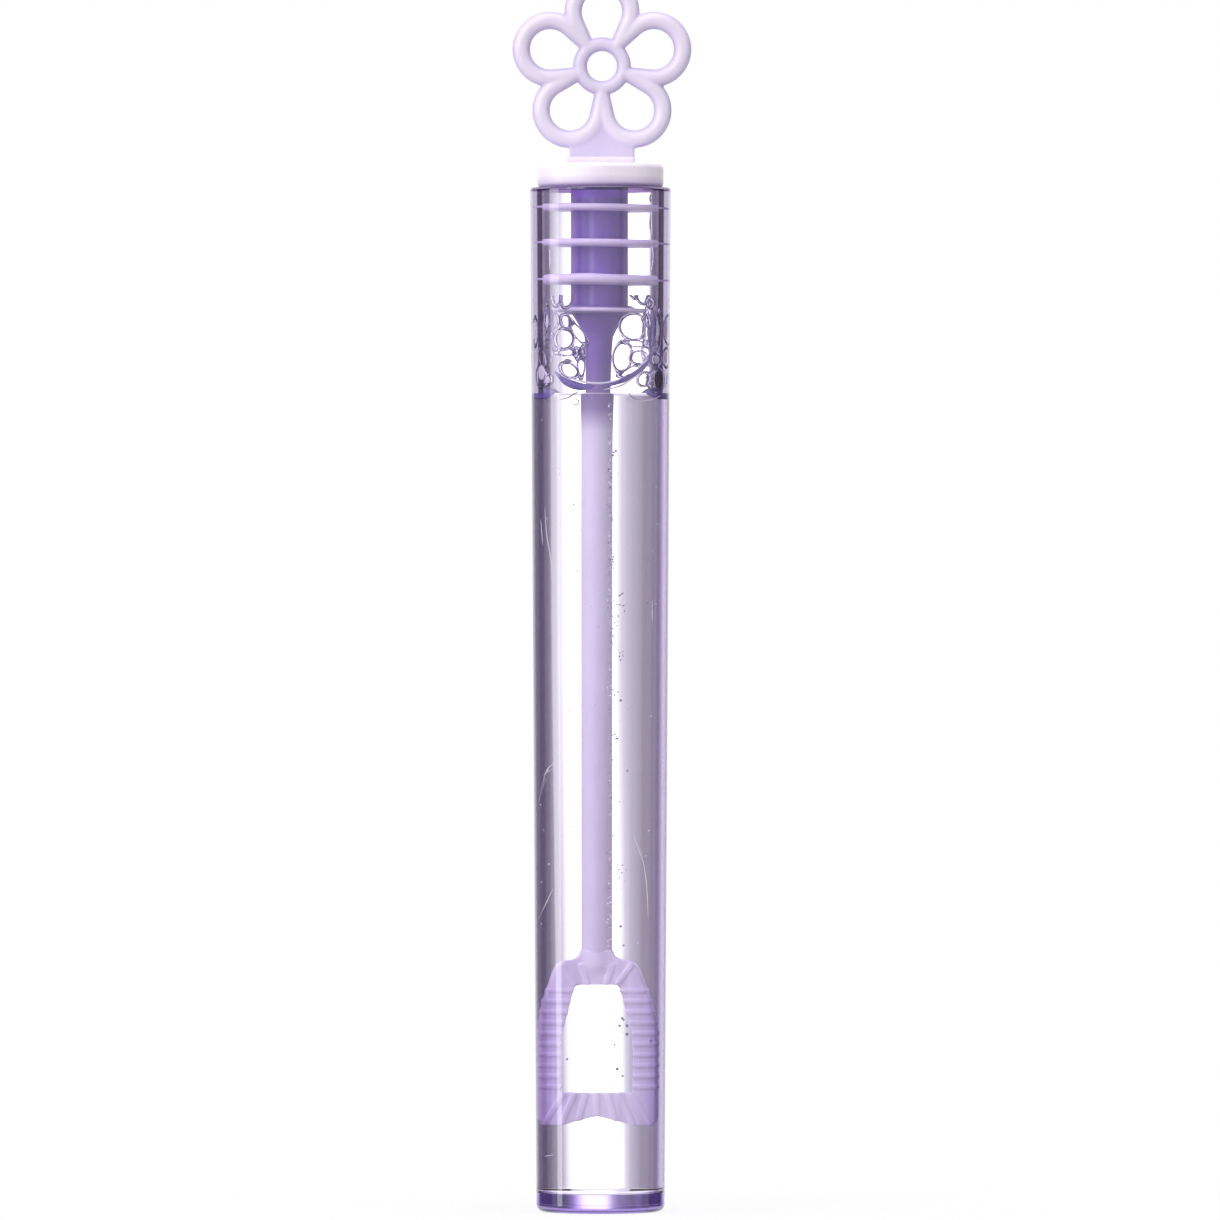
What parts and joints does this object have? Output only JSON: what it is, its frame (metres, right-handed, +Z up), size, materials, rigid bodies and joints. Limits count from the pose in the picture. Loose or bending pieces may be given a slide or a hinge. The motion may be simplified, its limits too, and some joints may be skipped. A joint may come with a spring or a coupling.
{
  "type": "bubble wand in a tube",
  "caption": "Slim clear tube of bubble liquid, closed by a finned stopper with a flower-shaped handle, whose stem carries a ribbed wand loop down to the floor of the tube.",
  "frame": {"origin": "middle of the tube's base, on the surface it stands on", "axes": "+Z up along the tube, +X across the flower, +Y away from the viewer through the flower's thickness"},
  "size_m": [0.0158, 0.0124, 0.11],
  "materials": {
    "clear_tube": "clear polystyrene with a faint violet tint, polished",
    "pale_plastic": "pale lilac polyethylene, satin",
    "wand_plastic": "lilac polyethylene, satin",
    "bubble_liquid": "clear bubble liquid with foam on it"
  },
  "bodies": {
    "tube": {"tube": "clear_tube"},
    "stopper": {"flower_handle": "pale_plastic", "handle_foot": "pale_plastic", "cap_flange": "pale_plastic", "plug_core": "wand_plastic", "seal_fin_top": "pale_plastic", "seal_fin_middle": "pale_plastic", "seal_fin_bottom": "pale_plastic", "lead_in_fin": "wand_plastic", "plug_cone": "wand_plastic", "wand_stem": "wand_plastic", "wand_loop": "wand_plastic"}
  },
  "joints": [
    {"name": "stopper_lift", "type": "slide", "parent": "tube", "child": "stopper", "axis": [0, 0, 1], "range_m": [0, 0.1]}
  ]
}
